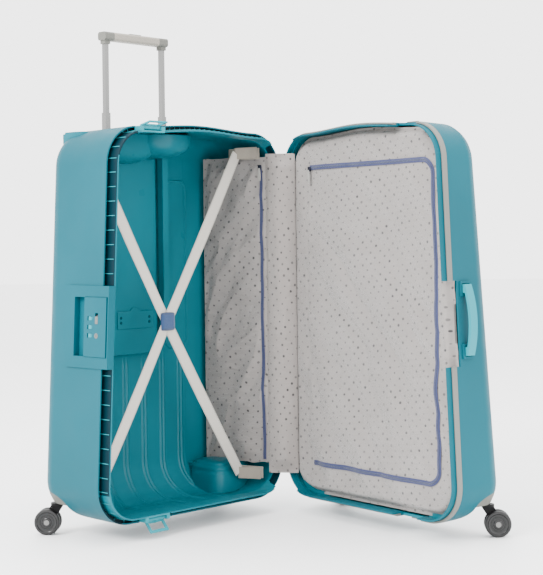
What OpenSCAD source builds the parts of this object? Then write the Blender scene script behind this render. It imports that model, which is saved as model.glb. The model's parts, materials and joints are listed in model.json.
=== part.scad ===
// Hard shell suitcase on four twin-wheel casters, standing open like a book.
// Millimetres, +Z up, floor at Z = 0. Each half is modelled in its own half frame:
// X is the depth behind the rim, Y the distance from the hinge axis along the rim, Z the height.

/* [Case] */
// Width of a half across the rim, from the hinge axis to the lock side
case_w = 504; // [490:1:520]
// How much narrower the case is at its top than at its bottom
top_taper = 30; // [16:1:36]
// Height of the lower edge of the rim above the floor
rim_bottom = 32; // [31:1:34]
// Height of the upper corners of the rim above the floor
rim_top = 784; // [776:1:796]
// Extra height of the arched top at its middle
top_arch = 8; // [4:1:12]
// Depth of the base half behind its rim
base_depth = 184; // [180:1:200]
// Depth of the lid half behind its rim
lid_depth = 133; // [130:1:150]
// How much shallower the lid is at its top than at its bottom
lid_lean = 28; // [0:1:34]
// Radius of the case's corners, seen from the front
corner_r = 75; // [72:1:80]
// Radius of the edges round the back of each half
back_r = 45; // [40:1:48]
// Wall thickness of the shells
wall = 3; // [2.5:0.5:3.5]
// Angle between the open halves
open_angle = 82; // [70:1:110]

/* [Rim] */
// Width of the channel that runs round the rim of the base
channel_w = 13; // [12:1:14]
// Depth of that channel behind the rim
channel_depth = 12; // [12:1:14]
// How far the inner wall of the base stands proud of the rim
inner_stand = 20; // [18:1:20]
// How far the lid's tongue stands proud of its rim
tongue_stand = 10; // [8:1:10]
// Spacing of the stiffening ribs in the channel
rib_pitch = 27; // [24:1:36]

/* [Trolley handle] */
// Spacing of the two telescopic tubes
tube_pitch = 150; // [140:1:160]
// Distance of the tubes from the rim of the base
tube_depth = 160; // [156:1:162]
// Distance of the middle of the handle from the hinge axis
handle_mid = 265; // [255:1:275]
// Height of the top of the grip above the floor
grip_top = 985; // [970:1:1000]
// Height at which the middle tubes end
mid_top = 823; // [815:1:830]

/* [Casters] */
// Diameter of the wheels
wheel_d = 50; // [48:1:56]
// Width of one wheel
wheel_w = 11; // [9:1:12]
// Distance from the swivel axis to the axle
trail = 19; // [16:1:20]
// Distance of a swivel axis from the lock side or hinge side
swivel_side = 30; // [28:1:34]
// Distance of a swivel axis from the back of its half
swivel_back = 25; // [24:1:30]

/* [Lock] */
// Height of the middle of the lock above the floor
lock_z = 406; // [395:1:420]
// Height of the lock housing
lock_h = 154; // [140:1:160]
// Depth of the lock housing behind the rim
lock_depth = 112; // [100:1:115]

/* [Hidden] */
$fn = 48;
hinge_gap = 6;                       // hinge side wall to hinge axis
half_open = open_angle / 2;
corner_steps = 7;
round_steps = 6;
arch_steps = 6;
draft = 2;                           // how far the walls lean in towards the back
lip = 3;                             // thickness of the outer lip
seal_depth = 12;
step_depth = 21;                     // where the rim's step meets the wall
taper_angle = atan(top_taper / (rim_top - rim_bottom - 2 * corner_r));

// The hinge axis, placed so that the open case is centred over the origin
hinge_x = (base_depth - lid_depth) * cos(half_open) / 2;
front_reach = (case_w - channel_w) * cos(half_open) + inner_stand * sin(half_open);
back_reach = (base_depth - back_r) * sin(half_open) + back_r
    - (hinge_gap + back_r) * cos(half_open);
hinge_y = (front_reach - back_reach) / 2;

module base_frame() translate([hinge_x, hinge_y, 0]) rotate([0, 0, 180 - half_open]) children();
module lid_frame() translate([hinge_x, hinge_y, 0]) rotate([0, 0, half_open])
    mirror([0, 1, 0]) children();
function base_point(v, u) = [hinge_x - v * cos(half_open) - u * sin(half_open),
    hinge_y + v * sin(half_open) - u * cos(half_open), 0];
function lid_point(v, u) = [hinge_x + v * cos(half_open) + u * sin(half_open),
    hinge_y + v * sin(half_open) - u * cos(half_open), 0];

teal = [0.22, 0.62, 0.68];
pale_teal = [0.42, 0.86, 0.9];
corner_grey = [0.65, 0.65, 0.62];
cream = [0.9, 0.87, 0.82];
fabric = [0.78, 0.75, 0.73];
blue = [0.33, 0.43, 0.67];
black = [0.12, 0.12, 0.12];
metal = [0.78, 0.78, 0.77];

// ---- outlines and ring solids ----

function arc(cu, cz, r, from, to, n) =
    [for (i = [0:n]) let (a = from + (to - from) * i / n) [cu + r * cos(a), cz + r * sin(a)]];
// The case's outline across the rim, moved inwards by inset: [distance from hinge, height]
function outline(inset) = let (r = corner_r - inset, near = hinge_gap + corner_r,
        far = case_w - corner_r, low = rim_bottom + corner_r, high = rim_top - corner_r) concat(
    arc(far, low, r, -90, taper_angle, corner_steps),
    arc(far - top_taper, high, r, taper_angle, 90, corner_steps),
    [for (i = [1:arch_steps - 1]) let (s = i / arch_steps)
        [far - top_taper + (near - far + top_taper) * s,
         rim_top - inset + top_arch * (1 - cos(360 * s)) / 2]],
    arc(near, high, r, 90, 180, corner_steps),
    arc(near, low, r, 180, 270, corner_steps));
function width_at(z) = case_w - (z - rim_bottom - corner_r) * tan(taper_angle);

// Depth at height z of a point that is v deep where the half is deepest: the back leans by lean
function leaned(v, z, depth, lean) = v - lean * max(0, min(1, (v - 30) / (depth - 60)))
    * (z - rim_bottom) / (rim_top - rim_bottom);
function lean_of(depth) = depth == lid_depth ? lid_lean : 0;

// A closed solid through rings of the outline, each given as [inset, depth behind the rim]
module ring_solid(rings, depth = base_depth) {
    n = len(outline(0));
    m = len(rings);
    polyhedron(convexity = 12,
        points = [for (r = rings) for (p = outline(r[0]))
            [leaned(r[1], p[1], depth, lean_of(depth)), p[0], p[1]]],
        faces = concat([[for (i = [n - 1:-1:0]) i]],
            [for (k = [0:m - 2]) for (i = [0:n - 1]) each ring_faces(k, k + 1, i, n)],
            [[for (i = [0:n - 1]) (m - 1) * n + i]]));
}
// A closed frame whose section is the polygon through the rings
module ring_frame(rings) {
    n = len(outline(0));
    m = len(rings);
    polyhedron(convexity = 12,
        points = [for (r = rings) for (p = outline(r[0])) [r[1], p[0], p[1]]],
        faces = [for (k = [0:m - 1]) for (i = [0:n - 1]) each ring_faces(k, (k + 1) % m, i, n)]);
}
function ring_faces(k, next, i, n) = let (j = (i + 1) % n)
    [[k * n + i, next * n + j, next * n + i], [k * n + i, k * n + j, next * n + j]];

// Rings round the back edge, from the middle of the back to the side wall
function back_rings(depth, inner) = [for (i = [round_steps:-1:0]) let (a = 90 * i / round_steps)
    [draft + inner + (back_r - inner) * (1 - cos(a)), depth - back_r + (back_r - inner) * sin(a)]];
function reversed(list) = [for (i = [len(list) - 1:-1:0]) list[i]];

// Everything inside the outer surface of a half, shrunk by inner
module half_volume(depth, inner = 0, rim_inner = 0)
    ring_solid(concat(back_rings(depth, inner), [[rim_inner, 0]]), depth);

// ---- frames on the case ----

// On the lock side wall: X depth, Y outwards, Z up the wall, with its origin at height z
module on_lock_wall(z) translate([0, width_at(z), z]) rotate([taper_angle, 0, 0]) children();
// Along the top at the outline's surface, at distance u from the hinge
function top_at(u) = let (near = hinge_gap + corner_r, far = case_w - corner_r - top_taper)
    rim_top + top_arch * (1 - cos(360 * (u - near) / (far - near))) / 2;

module box(x0, x1, y0, y1, z0, z1) translate([x0, y0, z0]) cube([x1 - x0, y1 - y0, z1 - z0]);
module rod(x, y, z0, z1, r, n = 48) translate([x, y, z0]) cylinder(r = r, h = z1 - z0, $fn = n);
// A rounded bar along Y
module bar(x, z, y0, y1, r) translate([x, y0, z]) rotate([-90, 0, 0]) cylinder(r = r, h = y1 - y0);
module rounded_plate(w, h, t, r) linear_extrude(t) offset(r, $fn = 32)
    square([w - 2 * r, h - 2 * r], center = true);

// ---- caster corners ----

housing_bottom = 62;
housing_rise = 27;                   // height of a housing at the back of the case
housing_len = 70;                    // length of a housing along the depth
housing_side = 100;                  // length of a housing along the rim
foot_len = 20;                       // length of the sloping foot in front of it
foot_drop = 24;
arch_points = 8;

// Side outline of the corner that is taken out of a half: [depth, height]
function corner_profile(depth) = concat(
    [[depth + 20, 0], [depth + 20, housing_bottom + housing_rise]],
    [for (i = [0:arch_points]) let (a = 90 * i / arch_points)
        [depth - housing_len * sin(a), housing_bottom + housing_rise * cos(a)]],
    [for (i = [1:arch_points]) let (a = 90 * i / arch_points)
        [depth - housing_len - foot_len * (1 - cos(a)), housing_bottom - foot_drop * sin(a)]],
    [[depth - housing_len - foot_len, 0]]);
// The same corner along the rim, grown by g: far_side is true at the lock side
module corner_cut(depth, far_side, g = 0)
    translate([0, far_side ? case_w + 20 : hinge_gap + housing_side + g, 0]) rotate([90, 0, 0])
        linear_extrude(housing_side + 20 + g) offset(delta = g) polygon(corner_profile(depth));

module caster_housing(depth, far_side) difference() {
    intersection() {
        half_volume(depth);
        translate([0, far_side ? case_w + 20 : hinge_gap + housing_side - 0.3, 0])
            rotate([90, 0, 0]) linear_extrude(housing_side + 19.7)
                intersection() {
                    offset(delta = -0.3) polygon(corner_profile(depth));
                    translate([0, housing_bottom]) square([depth + 20, 60]);
                }
    }
    swivel_hole(depth, far_side);
}
module base_housing(far_side) color(corner_grey) base_frame() caster_housing(base_depth, far_side);
module lid_housing(far_side) color(corner_grey) lid_frame() caster_housing(lid_depth, far_side);
stem_r = 5;
module swivel_hole(depth, far_side)
    rod(depth - swivel_back, swivel_u(far_side), housing_bottom - 1, housing_bottom + 18.4,
        stem_r + 0.1);
function swivel_u(far_side) = far_side ? case_w - swivel_side : hinge_gap + swivel_side;

// The inner wells that close a half above its caster corners
module caster_wells(depth) for (far_side = [false, true]) difference() {
    intersection() {
        half_volume(depth, wall + 0.3, wall + 1.3);
        corner_cut(depth, far_side, wall);
    }
    corner_cut(depth, far_side);
}
module wells_base() color(teal) base_frame() caster_wells(base_depth);
module wells_lid() color(teal) lid_frame() caster_wells(lid_depth);

// ---- shells ----

module base_shell() color(teal) base_frame() difference() {
    ring_solid(concat(back_rings(base_depth, 0), [[0, 0], [lip, 0], [lip, channel_depth],
        [channel_w, channel_depth], [channel_w, -inner_stand],
        [channel_w + wall, -inner_stand], [channel_w + wall, channel_depth + wall],
        [wall + 1, step_depth]], reversed(back_rings(base_depth, wall))));
    for (far_side = [false, true]) corner_cut(base_depth, far_side);
    // the hinge side has no proud wall, so that the lid can swing past it
    box(-inner_stand - 1, channel_depth - 0.5, hinge_gap + 6, 40, 0, rim_top + 40);
    lock_window();
    latch_windows();
    housing_window();
}

// Stiffening ribs across the channel on the lock side, the top and the bottom
module channel_ribs() color(pale_teal) base_frame() {
    rib_t = 1.6;
    rib_clear = 8.8;                 // the lid's tongue goes in outside this
    low = channel_depth - 9;
    floor_v = channel_depth - 0.05;
    for (z = [rim_bottom + corner_r:rib_pitch:rim_top - corner_r])
        if (abs(z - lock_z) > lock_h / 2 + 6)
            box(low, floor_v, width_at(z) - channel_w + 0.2, width_at(z) - rib_clear,
                z - rib_t / 2, z + rib_t / 2);
    for (u = [100:rib_pitch:case_w - corner_r - top_taper])
        if (abs(u - latch_u) > latch_w / 2 + 5) {
            box(low, floor_v, u - rib_t / 2, u + rib_t / 2,
                rim_bottom + rib_clear, rim_bottom + channel_w - 0.1);
            box(low, floor_v, u - rib_t / 2, u + rib_t / 2,
                top_at(u) - channel_w + 1, top_at(u) - rib_clear - 0.5);
        }
}

module lid_shell() color(teal) lid_frame() difference() {
    ring_solid(concat(back_rings(lid_depth, 0), [[0, seal_depth], [5, seal_depth],
        [5, -tongue_stand], [8, -tongue_stand], [8, seal_depth + wall],
        [wall + 1, step_depth]], reversed(back_rings(lid_depth, wall))), lid_depth);
    for (far_side = [false, true]) corner_cut(lid_depth, far_side);
    box(-tongue_stand - 1, seal_depth - 0.5, hinge_gap + 4, 40, 0, rim_top + 40);
    lid_notches();
    carry_handle_holes();
}

// Where the latches of the base reach over the lid's rim
module lid_notches() {
    on_lock_wall(lock_z) box(-tongue_stand - 1, inner_stand + 2, -channel_w - 3.5, 6,
        -lock_h / 2 - 2, lock_h / 2 + 2);
    box(-tongue_stand - 1, latch_reach + 2, latch_u - latch_w / 2 - 2, latch_u + latch_w / 2 + 2,
        rim_bottom - 3, rim_bottom + channel_w + 0.6);
    box(-tongue_stand - 1, latch_reach + 2, latch_u - latch_w / 2 - 2, latch_u + latch_w / 2 + 2,
        rim_top - channel_w - 0.5, rim_top + 20);
}

module rim_seal() color(corner_grey) lid_frame() difference() {
    ring_frame([[4.6, seal_depth - 0.3], [0.2, seal_depth - 0.3], [0.2, 0.6], [4.6, 0.6]]);
    lid_notches();
}

// ---- hinges ----

hinge_heights = [190, 408, 626];
knuckle = 14;                        // length of one knuckle
knuckle_r = 5;
pin_r = 1.8;
leaf_reach = 30;

// Knuckles for which (index % 2 == which) in one half frame, with their leaf
module hinge_leaf(which) for (h = hinge_heights) difference() {
    for (i = [0:4]) if (i % 2 == which) {
        z0 = h + (i - 2.5) * knuckle;
        rod(0, 0, z0 + 0.2, z0 + knuckle - 0.2, knuckle_r);
        difference() {
            box(0, 8, 3.2, 5.8, z0 + 0.2, z0 + knuckle - 0.2);
            rod(0, 0, z0, z0 + knuckle, knuckle_r - 0.2);
        }
    }
    rod(0, 0, h - 3 * knuckle, h + 3 * knuckle, pin_r + 0.1);
}
module leaf_plate() for (h = hinge_heights)
    box(7.8, leaf_reach, 3.2, 5.8, h - 2.5 * knuckle, h + 2.5 * knuckle);
module hinge_leaves_base() color(metal) base_frame() { hinge_leaf(0); leaf_plate(); }
module hinge_leaves_lid() color(metal) lid_frame() { hinge_leaf(1); leaf_plate(); }
module hinge_pins() color(metal) base_frame() for (h = hinge_heights) {
    rod(0, 0, h - 2.5 * knuckle, h + 2.5 * knuckle, pin_r);
    for (end = [-1, 1]) translate([0, 0, h + end * (2.5 * knuckle + 0.6)])
        cylinder(r = 3, h = 1.2, center = true);
}

// ---- casters ----

// Each caster: [swivel position, angle of its trail]
casters = [[base_point(base_depth - swivel_back, swivel_u(false)), 180],
    [base_point(base_depth - swivel_back, swivel_u(true)), 180],
    [lid_point(lid_depth - swivel_back, swivel_u(false)), 0],
    [lid_point(lid_depth - swivel_back, swivel_u(true)), 0]];
web_t = 7;                           // thickness of the fork between the wheels
axle_r = 3;
module at_caster(i) translate(casters[i][0]) rotate([0, 0, casters[i][1]]) children();
module on_axle() translate([trail, 0, wheel_d / 2]) rotate([90, 0, 0]) children();

module caster_fork(i) color(black) at_caster(i) {
    rod(0, 0, housing_bottom - 5, housing_bottom - 0.5, 13);
    rod(0, 0, housing_bottom - 0.6, housing_bottom + 17.5, stem_r);
    difference() {
        translate([0, -web_t / 2, 0]) rotate([90, 0, 0]) mirror([0, 0, 1]) linear_extrude(web_t)
            polygon(concat([[-12, housing_bottom - 4.5], [12, housing_bottom - 4.5]],
                arc(trail, wheel_d / 2, 8.5, 35, -145, 10)));
        on_axle() cylinder(r = axle_r, h = 20, center = true);
    }
}
module caster_axle(i) color(cream) at_caster(i) on_axle() {
    half = web_t / 2 + 0.4 + wheel_w + 0.4;
    cylinder(r = axle_r, h = 2 * half, center = true);
    for (side = [-1, 1]) translate([0, 0, side * (half + 0.6)])
        cylinder(r = 5, h = 1.2, center = true);
}
module wheel(i, side) color(black) at_caster(i) on_axle()
    translate([0, 0, side * (web_t / 2 + 0.4 + wheel_w / 2)]) mirror([0, 0, side < 0 ? 1 : 0])
        rotate_extrude($fn = 64) wheel_profile();
// Half section of a wheel, with a dished outer face
module wheel_profile() {
    r = wheel_d / 2;
    h = wheel_w / 2;
    polygon([[axle_r + 0.1, -h], [r - 2.5, -h], [r - 0.7, -h + 1], [r, -h + 3], [r, h - 3],
        [r - 0.7, h - 1], [r - 2.5, h], [r - 6, h], [r - 7.5, h - 2], [9, h - 2], [7.5, h],
        [axle_r + 0.1, h]]);
}

// ---- trolley handle ----

outer_s = 15.4;                      // sides of the square tubes
middle_s = 12.4;
inner_s = 9.4;
tube_wall = 1.2;
tubes = [handle_mid - tube_pitch / 2, handle_mid + tube_pitch / 2];
outer_low = 366;                     // lower end of the fixed tubes
housing_z = rim_top - 44;            // underside of the handle housing
cup_floor = rim_top - 21;
cup = [tube_depth - 15, tube_depth + 14, tubes[0] - 14, tubes[1] + 14];

module square_tube(side, z0, z1, t = tube_wall) difference() {
    translate([-side / 2, -side / 2, z0]) cube([side, side, z1 - z0]);
    translate([-side / 2 + t, -side / 2 + t, z0 - 1]) cube([side - 2 * t, side - 2 * t, z1 - z0 + 2]);
}
module at_tubes() base_frame() for (u = tubes) translate([tube_depth, u, 0]) children();

module outer_tubes() color(metal) at_tubes() {
    square_tube(outer_s, outer_low, cup_floor);
    translate([-outer_s / 2, -outer_s / 2, outer_low - 3]) cube([outer_s, outer_s, 3]);
}
module middle_tubes() color(metal) at_tubes() square_tube(middle_s, mid_top - 340, mid_top);
module inner_tubes() color(metal) at_tubes() square_tube(inner_s, mid_top - 255, grip_top - 15);

// The moulded housing inside the top; its upper wall is the floor of the grip's cup
housing_v = [base_depth - 90, tube_depth + 8.5];
module handle_housing() color(teal) base_frame() difference() {
    box(housing_v[0], housing_v[1], 110, 420, housing_z, cup_floor);
    box(housing_v[0] + wall, housing_v[1] + 1, 113, 417, housing_z + wall, cup_floor - wall);
    for (u = tubes) box(tube_depth - outer_s / 2 - 0.05, tube_depth + outer_s / 2 + 0.05,
        u - outer_s / 2 - 0.05, u + outer_s / 2 + 0.05, housing_z - 5, cup_floor + 1);
}
module housing_window() box(cup[0], cup[1], cup[2], cup[3], rim_top - 40, rim_top + 30);

grip_h = 17;
grip_depth = 24;
cap_len = 24;
// A rounded bar along the rim, the full size of the grip
module grip_bar(u0, u1) translate([tube_depth, u0, grip_top - grip_h / 2]) rotate([-90, 0, 0])
    linear_extrude(u1 - u0) offset(5, $fn = 32) square([grip_depth - 10, grip_h - 10], center = true);
grip_ends = [tubes[0] - 9, tubes[1] + 9];
button_u = [handle_mid - 15, handle_mid + 15];
module grip() color(cream) base_frame() difference() {
    grip_bar(grip_ends[0] + cap_len, grip_ends[1] - cap_len);
    box(tube_depth - 6.3, tube_depth + 6.3, button_u[0] - 0.3, button_u[1] + 0.3,
        grip_top - 12, grip_top + 1);
}
module grip_caps() color(corner_grey) base_frame() {
    for (end = [0, 1]) difference() {
        u = tubes[end];
        start = end == 0 ? grip_ends[0] : grip_ends[1] - cap_len;
        union() {
            grip_bar(start, start + cap_len);
            box(tube_depth - 7, tube_depth + 7, u - 7, u + 7, grip_top - 24, grip_top - grip_h + 2);
        }
        box(tube_depth - 4.7, tube_depth + 4.7, u - 4.7, u + 4.7, grip_top - 25, grip_top - 15);
    }
}
module grip_button() color(corner_grey) base_frame()
    box(tube_depth - 6, tube_depth + 6, button_u[0], button_u[1], grip_top - 7.5, grip_top + 1.5);

// The panel between the tubes on the inside of the back
cover_z = [335, housing_z - 1];
cover_v = base_depth - 17;
cover_u = [tubes[0] + 12, tubes[1] - 12];
plate_z = 404;
module tube_cover() color(teal) base_frame() {
    difference() {
        box(cover_v, base_depth - wall - 0.3, cover_u[0], cover_u[1], cover_z[0], cover_z[1]);
        box(cover_v + 2.5, base_depth, cover_u[0] + 2.5, cover_u[1] - 2.5, cover_z[0] + 2.5,
            cover_z[1] + 1);
    }
    // the raised plate that holds it, with four bosses
    box(cover_v - 2, cover_v + 0.1, handle_mid - 47, handle_mid + 47, plate_z - 18, plate_z + 18);
    for (u = [-38, 38], z = [-5, 5]) translate([cover_v - 3, handle_mid + u, plate_z + z])
        rotate([0, 90, 0]) cylinder(r = 2.8, h = 1.1);
}

// ---- lock ----

lever_v = [-15, 48];
lever_h = 111;
lever_n = [1.2, 4.2];                // under and outer faces of the lever
slot_v = 79;
dial_r = 7;
dial_v = 31;
dial_n = -2.2;
dial_pitch = 16;
pivot_v = -13;
pivot_n = 0.5;
module on_lock() base_frame() on_lock_wall(lock_z) children();

module lock_window() on_lock_wall(lock_z) {
    box(-inner_stand - 1, 2.3, -12.8, 4, -lock_h / 2 - 0.3, lock_h / 2 + 0.3);
    box(2, slot_v + 5.3, -12.8, 4, -60.3, 60.3);
}
// Outline of the lock's cover, with a bowed edge on its deep side: [depth, height]
module lock_outline() intersection() {
    translate([lock_depth / 2 - inner_stand / 2, 0])
        square([lock_depth + inner_stand, lock_h], center = true);
    translate([lock_depth - 330, 0]) circle(r = 330, $fn = 180);
}
module lock_housing() color(teal) on_lock() difference() {
    union() {
        translate([0, 2.7, 0]) rotate([90, 0, 0]) linear_extrude(2.5) lock_outline();
        box(-inner_stand, 2, -12.5, 0.3, -lock_h / 2, lock_h / 2);
        box(1.9, slot_v + 5, -12.5, 0.3, -60, 60);
    }
    box(lever_v[0] - 2.5, lever_v[1] + 1, -10.5, 5, -lever_h / 2 - 0.8, lever_h / 2 + 0.8);
    box(lever_v[1], slot_v, -10.5, 5, -lever_h / 2, lever_h / 2);
    translate([pivot_v, pivot_n, -lever_h / 2 - 5]) cylinder(r = 1.55, h = lever_h + 10);
}
// The lever that opens the lock; it carries the shaft on which the dials turn
module main_lever() color(teal) on_lock() {
    difference() {
        union() {
            box(lever_v[0], lever_v[1], lever_n[0], lever_n[1], -lever_h / 2, lever_h / 2);
            translate([pivot_v, pivot_n, -lever_h / 2]) cylinder(r = 1.7, h = lever_h);
            translate([pivot_v, pivot_n, -lever_h / 2 - 4]) cylinder(r = 1.5, h = lever_h + 8);
            for (z = [-34, 32])
                box(dial_v - 3, dial_v + 3, dial_n - 3, lever_n[0] + 0.1, z, z + 2);
        }
        for (z = [-1, 0, 1] * dial_pitch)
            box(dial_v - 6.9, dial_v + 6.9, 0, 5, z - 3.9, z + 3.9);
        box(7.7, 16.3, 0, 5, 5.7, 26.3);
        translate([12, 6, -16]) rotate([90, 0, 0]) cylinder(r = 5.1, h = 6);
    }
    translate([dial_v, dial_n, -33]) cylinder(r = 1.5, h = 66);
}
module dial(i) color(cream) on_lock() translate([dial_v, dial_n, (i - 2) * dial_pitch - 3.5])
    difference() {
        cylinder(r = dial_r, h = 7);
        translate([0, 0, -1]) cylinder(r = 1.6, h = 9);
        for (k = [0:9]) rotate(36 * k + 18) translate([dial_r + 0.5, 0, -1]) cylinder(r = 1, h = 9);
    }
module lock_slider() color(metal) on_lock() {
    box(8, 16, 0.8, 4.4, 6, 20);
    box(6, 18, -0.6, 0.9, 4, 22);
}
module key_cylinder() color(metal) on_lock() translate([12, 4.3, -16]) rotate([90, 0, 0])
    difference() {
        cylinder(r = 5, h = 6);
        translate([-0.5, -3, -1]) cube([1, 6, 4]);
    }

// ---- top and bottom latches ----

latch_u = 372;
latch_w = 62;
latch_reach = 17;                    // how far the latch bases stand proud of the rim
latch_axis_v = -9;
latch_axis_in = 4;                   // pivot below the outer surface
module latch_windows() for (z = [rim_bottom - 1, rim_top - channel_w + 0.5])
    box(-inner_stand - 1, 2.3, latch_u - latch_w / 2 - 0.3, latch_u + latch_w / 2 + 0.3,
        z, z + (z < rim_top / 2 ? channel_w + 0.5 : channel_w + 8));
// A latch's base in the channel, with Z counted inwards from the case's surface
module latch_base() difference() {
    box(-latch_reach, 2, latch_u - latch_w / 2, latch_u + latch_w / 2, 0.8, channel_w - 0.7);
    box(-latch_reach - 1, -1, latch_u - latch_w / 2 + 8, latch_u + latch_w / 2 - 8, 0, 9);
    bar(latch_axis_v, latch_axis_in, latch_u - latch_w, latch_u + latch_w, 1.55);
}
module at_bottom() translate([0, 0, rim_bottom]) children();
module at_top() translate([0, 0, rim_top]) mirror([0, 0, 1]) children();
module latch_bases() color(pale_teal) base_frame() {
    at_bottom() latch_base();
    at_top() latch_base();
}
// A latch loop on its pivot pin, over the outside of the rim, open by an angle
loop_half = latch_w / 2 - 8.4;
module latch_loop(open) translate([latch_axis_v, latch_u, latch_axis_in])
    rotate([0, -open, 0]) {
        bar(0, 0, -loop_half, loop_half, 3.2);
        bar(0, 0, -latch_w / 2, latch_w / 2, 1.5);
        difference() {
            union() {
                box(-3.2, 3.2, -loop_half, loop_half, -7.2, 0);
                box(-26, 0, -loop_half, loop_half, -7.2, -4.4);
            }
            box(-21, -5, 5 - loop_half, loop_half - 5, -8, -4);
        }
    }
module bottom_latch() color(pale_teal) base_frame() at_bottom() latch_loop(48);
module top_latch() color(pale_teal) base_frame() at_top() latch_loop(12);

// The lid's catches: one in the lock's notch and a hook for each loop
module strike_hook() box(latch_reach + 5, latch_reach + 11, latch_u - 14, latch_u + 14, -2.8, 1);
module latch_strikes() color(metal) lid_frame() {
    on_lock_wall(lock_z) box(inner_stand + 2.3, inner_stand + 4, -11.5, -7, -36, 36);
    difference() {
        union() {
            at_bottom() strike_hook();
            at_top() strike_hook();
        }
        ring_solid(concat(back_rings(lid_depth, 0), [[0, seal_depth]]), lid_depth);
    }
}

// ---- packing straps, pocket and lining ----

strap_w = 25;
strap_t = 1.6;
strap_v = 50;                        // depth of the straps' ends at the lock side
anchor_top = 745;                    // heights of the anchors beside the hinge
anchor_low = 78;
anchor_u = 72;
anchor_v = 62;
cross = [65, 270, 404];
// A flat band between two points [depth, distance, height]
module band(a, b, w, t, shift = 0) {
    d = b - a;
    len_b = norm(d);
    flat = norm([d[0], d[1]]);
    translate(a) rotate([0, 0, atan2(d[1], d[0])]) rotate([0, -atan2(d[2], flat), 0])
        translate([0, -t / 2 + shift, -w / 2]) cube([len_b, t, w]);
}
// The straps end in the corners at the lock side: [middle of the corner, direction of the end]
top_corner = [case_w - corner_r - top_taper, rim_top - corner_r, 9.6];
low_corner = [case_w - corner_r, rim_bottom + corner_r, -35.5];
function lock_end(c) = [strap_v, c[0] + (corner_r - 21) * cos(c[2]), c[1] + (corner_r - 21) * sin(c[2])];
function hinge_end(z) = [anchor_v, anchor_u, z];
module strap_rising() color(cream) base_frame() {
    band(lock_end(low_corner), cross, strap_w, strap_t, -1.2);
    band(cross, hinge_end(anchor_top), strap_w, strap_t, -1.2);
}
module strap_falling() color(cream) base_frame() {
    band(lock_end(top_corner), cross, strap_w, strap_t, 1.2);
    band(cross, hinge_end(anchor_low), strap_w, strap_t, 1.2);
}
module strap_pad() color(blue) base_frame() translate([cross[0] - 3.3, cross[1], cross[2]])
    rotate([0, -90, 0]) rounded_plate(34, 34, 4, 5);
module strap_anchors() color(cream) base_frame() {
    for (z = [anchor_top, anchor_low]) band([24, 41.5, z], [96, 58.5, z], 24, 3, 0);
    for (c = [top_corner, low_corner]) translate([strap_v, c[0], c[1]]) rotate([c[2], 0, 0])
        box(-15, 15, corner_r - 9, corner_r - 5.8, -11, 11);
}
// The flat pocket along the hinge side of the base
pocket_z = [98, 738];
module side_pocket() color(fabric) base_frame() {
    z = (pocket_z[0] + pocket_z[1]) / 2;
    band([16, 35, z], [164, 68, z], pocket_z[1] - pocket_z[0], 4);
}
module pocket_puller() color(metal) base_frame() box(9.5, 11.5, 36, 40, 690, 722);

// The two halves of the lining strip that bridges the hinge
gusset_z = [102, 714];
module gusset_base() color(fabric) base_frame() box(3, 5, 10.2, 34, gusset_z[0], gusset_z[1]);
module gusset_lid() color(fabric) lid_frame() box(3, 5, 11.4, 34, gusset_z[0], gusset_z[1]);

// The fabric divider that closes the lid, with a short skirt against the wall
lining_inset = 17.5;
lining_v = 8;
module lid_lining() color(fabric) lid_frame()
    ring_solid([[lining_inset + 3, lining_v + 3], [lining_inset + 2.5, lining_v + 4],
        [lining_inset + 2.5, 26], [lining_inset, 26], [lining_inset, lining_v + 2],
        [lining_inset + 3, lining_v]]);
module lining_puller() color(metal) lid_frame() box(5, 7, 74, 78, 690, 716);

// ---- carry handle ----

carry_z = 412;
carry_h = 132;
carry_v = 42;
bow_r = 200;
bow_h = 20;
module carry_handle_holes() on_lock_wall(carry_z) for (side = [-1, 1])
    box(carry_v - 10, carry_v + 10, -wall - 3, 1, side * 58 - 9, side * 58 + 9);
module handle_sockets() color(teal) lid_frame() on_lock_wall(carry_z) for (side = [-1, 1])
    difference() {
        box(carry_v - 14, carry_v + 14, 0.05, 3.5, side * 58 - 14, side * 58 + 14);
        box(carry_v - 10, carry_v + 10, -1, 5, side * 58 - 9.5, side * 58 + 9.5);
    }
// A bowed bar with two legs that slide in the sockets: [outwards, up] section along the depth
module carry_handle() color(pale_teal) lid_frame() on_lock_wall(carry_z)
    translate([carry_v - 9, 0, 0]) rotate([0, 90, 0]) rotate([0, 0, 90]) linear_extrude(18)
        difference() {
            intersection() {
                translate([-bow_r + bow_h, 0]) circle(r = bow_r, $fn = 160);
                translate([-13, -carry_h / 2]) square([40, carry_h]);
            }
            intersection() {
                translate([-bow_r + bow_h, 0]) circle(r = bow_r - 5.5, $fn = 160);
                translate([-20, 16 - carry_h / 2]) square([50, carry_h - 32]);
            }
        }

base_shell();
lid_shell();
channel_ribs();
rim_seal();
hinge_leaves_base();
hinge_leaves_lid();
hinge_pins();
wells_base();
wells_lid();
base_housing(false);  // caster_housing_1
base_housing(true);  // caster_housing_2
lid_housing(false);  // caster_housing_3
lid_housing(true);  // caster_housing_4
caster_fork(0);  // caster_fork_1
caster_fork(1);  // caster_fork_2
caster_fork(2);  // caster_fork_3
caster_fork(3);  // caster_fork_4
caster_axle(0);  // caster_axle_1
caster_axle(1);  // caster_axle_2
caster_axle(2);  // caster_axle_3
caster_axle(3);  // caster_axle_4
wheel(0, -1);  // wheel_1_left
wheel(0, 1);  // wheel_1_right
wheel(1, -1);  // wheel_2_left
wheel(1, 1);  // wheel_2_right
wheel(2, -1);  // wheel_3_left
wheel(2, 1);  // wheel_3_right
wheel(3, -1);  // wheel_4_left
wheel(3, 1);  // wheel_4_right
outer_tubes();
handle_housing();
middle_tubes();
inner_tubes();
grip();
grip_caps();
grip_button();
tube_cover();
lock_housing();
main_lever();
dial(1);  // dial_1
dial(2);  // dial_2
dial(3);  // dial_3
lock_slider();
key_cylinder();
latch_bases();
top_latch();
bottom_latch();
latch_strikes();
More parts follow.
